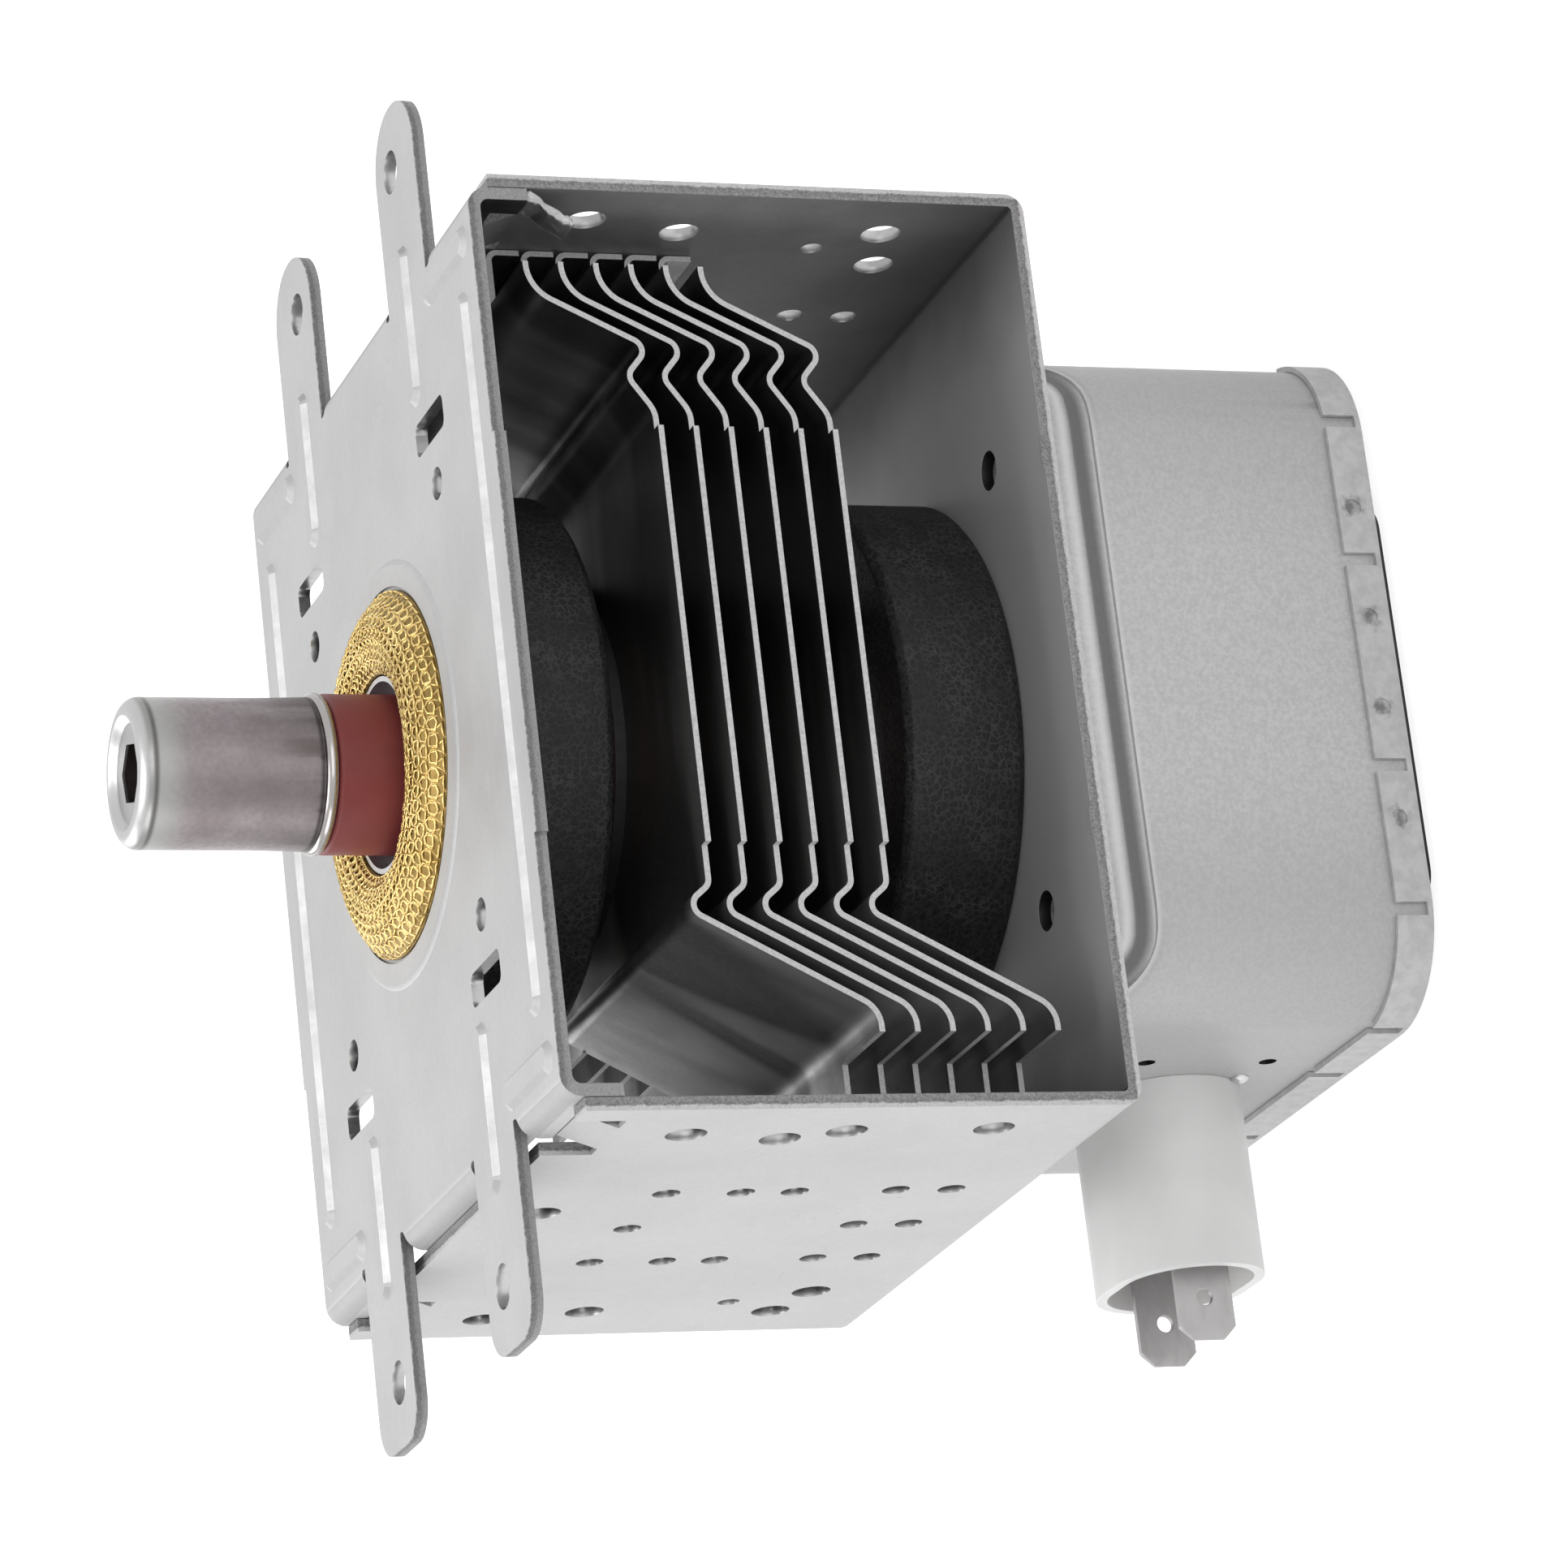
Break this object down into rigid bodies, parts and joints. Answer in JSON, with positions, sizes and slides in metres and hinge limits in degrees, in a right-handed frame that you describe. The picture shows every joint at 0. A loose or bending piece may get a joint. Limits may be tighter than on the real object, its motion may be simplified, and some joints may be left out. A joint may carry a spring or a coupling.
{
  "type": "magnetron",
  "caption": "Air-cooled oven magnetron: output antenna on a slotted mounting plate, open yoke with cooling fins between ring magnets, and a closed filter box with a power connector.",
  "frame": {"origin": "centre of the mounting plate's outer face, on the antenna's axis, which is also the centre of the four mounting holes", "axes": "+Z along the antenna, out of the mounting plate; -X towards the power connector; Y along the way the cooling air blows through the open yoke"},
  "size_m": [0.1334, 0.0852, 0.1281],
  "materials": {
    "steel_sheet": "bright zinc-plated sheet",
    "box_sheet": "mottled zinc-plated sheet",
    "cap_steel": "drawn stainless steel",
    "fin_aluminium": "matt with bright edges",
    "ferrite": "matt near-black",
    "rose_ceramic": "matt maroon",
    "white_ceramic": "matt white",
    "brass_mesh": "knitted wire",
    "copper": "bare copper",
    "silver_steel": "plated",
    "iron": "plain",
    "tungsten": "dark wire",
    "connector_plastic": "off-white moulding",
    "tinned": "tinned",
    "enamelled_wire": "enamelled copper",
    "soft_ferrite": "matt dark grey"
  },
  "bodies": {
    "root": {"antenna_cap": "cap_steel", "exhaust_tube": "copper", "antenna_lead": "copper", "output_ceramic": "rose_ceramic", "output_seal_cup": "silver_steel", "rf_gasket": "brass_mesh", "mounting_plate": "steel_sheet", "yoke": "steel_sheet", "upper_magnet": "ferrite", "lower_magnet": "ferrite", "anode_cylinder": "copper", "upper_inner_strap": "copper", "upper_outer_strap": "copper", "lower_inner_strap": "copper", "lower_outer_strap": "copper", "output_pole_piece": "iron", "input_pole_piece": "iron", "filament": "tungsten", "upper_end_hat": "tungsten", "lower_end_hat": "tungsten", "centre_lead": "tungsten", "side_lead": "tungsten", "input_seal_cup": "silver_steel", "stem_ceramic": "white_ceramic", "filter_box": "box_sheet", "filter_box_lid": "box_sheet", "connector_housing": "connector_plastic", "capacitor_flange": "steel_sheet", "capacitor_body": "white_ceramic", "stem_terminal_near": "silver_steel", "stem_terminal_far": "silver_steel", "spade_terminal_near": "tinned", "spade_terminal_far": "tinned", "ferrite_core_near": "soft_ferrite", "ferrite_core_far": "soft_ferrite", "choke_coil_near": "enamelled_wire", "choke_coil_far": "enamelled_wire", "cooling_fin_1": "fin_aluminium", "cooling_fin_2": "fin_aluminium", "cooling_fin_3": "fin_aluminium", "cooling_fin_4": "fin_aluminium", "cooling_fin_5": "fin_aluminium", "cooling_fin_6": "fin_aluminium", "anode_vane_1": "copper", "anode_vane_2": "copper", "anode_vane_3": "copper", "anode_vane_4": "copper", "anode_vane_5": "copper", "anode_vane_6": "copper", "anode_vane_7": "copper", "anode_vane_8": "copper", "anode_vane_9": "copper", "anode_vane_10": "copper"}
  },
  "joints": []
}
